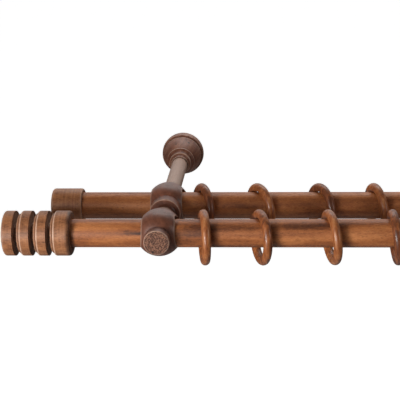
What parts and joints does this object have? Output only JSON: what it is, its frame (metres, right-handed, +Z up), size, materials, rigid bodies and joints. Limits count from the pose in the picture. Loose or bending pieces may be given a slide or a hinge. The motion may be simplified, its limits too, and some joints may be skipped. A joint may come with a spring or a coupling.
{
  "type": "double curtain pole",
  "caption": "Double wooden curtain pole: a front pole with grooved barrel finials, a rear pole with plain caps, turned brackets with wall rosettes, and loose round rings.",
  "frame": {"origin": "on the wall's face, midway between the two hanger bolts that carry the brackets", "axes": "+X along the poles to the right as seen from the room, +Y into the wall, +Z up"},
  "size_m": [0.8306, 0.3678, 0.0587],
  "materials": {
    "pole_wood": "satin",
    "turned_wood": "satin",
    "ring_wood": "satin",
    "zinc_steel": "zinc plated"
  },
  "bodies": {
    "pole_set": {"front_pole": "pole_wood", "left_bracket_arm": "turned_wood", "left_end_cap": "turned_wood", "left_finial": "turned_wood", "left_front_pole_screw": "zinc_steel", "left_hanger_bolt": "zinc_steel", "left_rear_pole_screw": "zinc_steel", "left_wall_rosette": "turned_wood", "rear_pole": "pole_wood", "right_bracket_arm": "turned_wood", "right_end_cap": "turned_wood", "right_finial": "turned_wood", "right_front_pole_screw": "zinc_steel", "right_hanger_bolt": "zinc_steel", "right_rear_pole_screw": "zinc_steel", "right_wall_rosette": "turned_wood"},
    "front_ring_1": {"front_ring_1": "ring_wood"},
    "front_ring_2": {"front_ring_2": "ring_wood"},
    "front_ring_3": {"front_ring_3": "ring_wood"},
    "front_ring_4": {"front_ring_4": "ring_wood"},
    "front_ring_5": {"front_ring_5": "ring_wood"},
    "front_ring_6": {"front_ring_6": "ring_wood"},
    "front_ring_7": {"front_ring_7": "ring_wood"},
    "front_ring_8": {"front_ring_8": "ring_wood"},
    "rear_ring_1": {"rear_ring_1": "ring_wood"},
    "rear_ring_2": {"rear_ring_2": "ring_wood"},
    "rear_ring_3": {"rear_ring_3": "ring_wood"},
    "rear_ring_4": {"rear_ring_4": "ring_wood"},
    "rear_ring_5": {"rear_ring_5": "ring_wood"},
    "rear_ring_6": {"rear_ring_6": "ring_wood"},
    "rear_ring_7": {"rear_ring_7": "ring_wood"},
    "rear_ring_8": {"rear_ring_8": "ring_wood"}
  },
  "joints": [
    {"name": "front_ring_1_slide", "type": "slide", "parent": "pole_set", "child": "front_ring_1", "axis": [1, 0, 0], "range_m": [-0.0162, 0.0207]},
    {"name": "front_ring_2_slide", "type": "slide", "parent": "pole_set", "child": "front_ring_2", "axis": [1, 0, 0], "range_m": [-0.0207, 0.0246]},
    {"name": "front_ring_3_slide", "type": "slide", "parent": "pole_set", "child": "front_ring_3", "axis": [1, 0, 0], "range_m": [-0.0246, 0.0241]},
    {"name": "front_ring_4_slide", "type": "slide", "parent": "pole_set", "child": "front_ring_4", "axis": [1, 0, 0], "range_m": [-0.0241, 0.019]},
    {"name": "front_ring_5_slide", "type": "slide", "parent": "pole_set", "child": "front_ring_5", "axis": [1, 0, 0], "range_m": [-0.019, 0.0208]},
    {"name": "front_ring_6_slide", "type": "slide", "parent": "pole_set", "child": "front_ring_6", "axis": [1, 0, 0], "range_m": [-0.0208, 0.0238]},
    {"name": "front_ring_7_slide", "type": "slide", "parent": "pole_set", "child": "front_ring_7", "axis": [1, 0, 0], "range_m": [-0.0238, 0.0203]},
    {"name": "front_ring_8_slide", "type": "slide", "parent": "pole_set", "child": "front_ring_8", "axis": [1, 0, 0], "range_m": [-0.0203, 0.0208]},
    {"name": "rear_ring_1_slide", "type": "slide", "parent": "pole_set", "child": "rear_ring_1", "axis": [1, 0, 0], "range_m": [-0.0027, 0.0159]},
    {"name": "rear_ring_2_slide", "type": "slide", "parent": "pole_set", "child": "rear_ring_2", "axis": [1, 0, 0], "range_m": [-0.0159, 0.0152]},
    {"name": "rear_ring_3_slide", "type": "slide", "parent": "pole_set", "child": "rear_ring_3", "axis": [1, 0, 0], "range_m": [-0.0152, 0.0163]},
    {"name": "rear_ring_4_slide", "type": "slide", "parent": "pole_set", "child": "rear_ring_4", "axis": [1, 0, 0], "range_m": [-0.0163, 0.0184]},
    {"name": "rear_ring_5_slide", "type": "slide", "parent": "pole_set", "child": "rear_ring_5", "axis": [1, 0, 0], "range_m": [-0.0184, 0.0172]},
    {"name": "rear_ring_6_slide", "type": "slide", "parent": "pole_set", "child": "rear_ring_6", "axis": [1, 0, 0], "range_m": [-0.0172, 0.0182]},
    {"name": "rear_ring_7_slide", "type": "slide", "parent": "pole_set", "child": "rear_ring_7", "axis": [1, 0, 0], "range_m": [-0.0182, 0.0207]},
    {"name": "rear_ring_8_slide", "type": "slide", "parent": "pole_set", "child": "rear_ring_8", "axis": [1, 0, 0], "range_m": [-0.0207, 0.0178]}
  ]
}
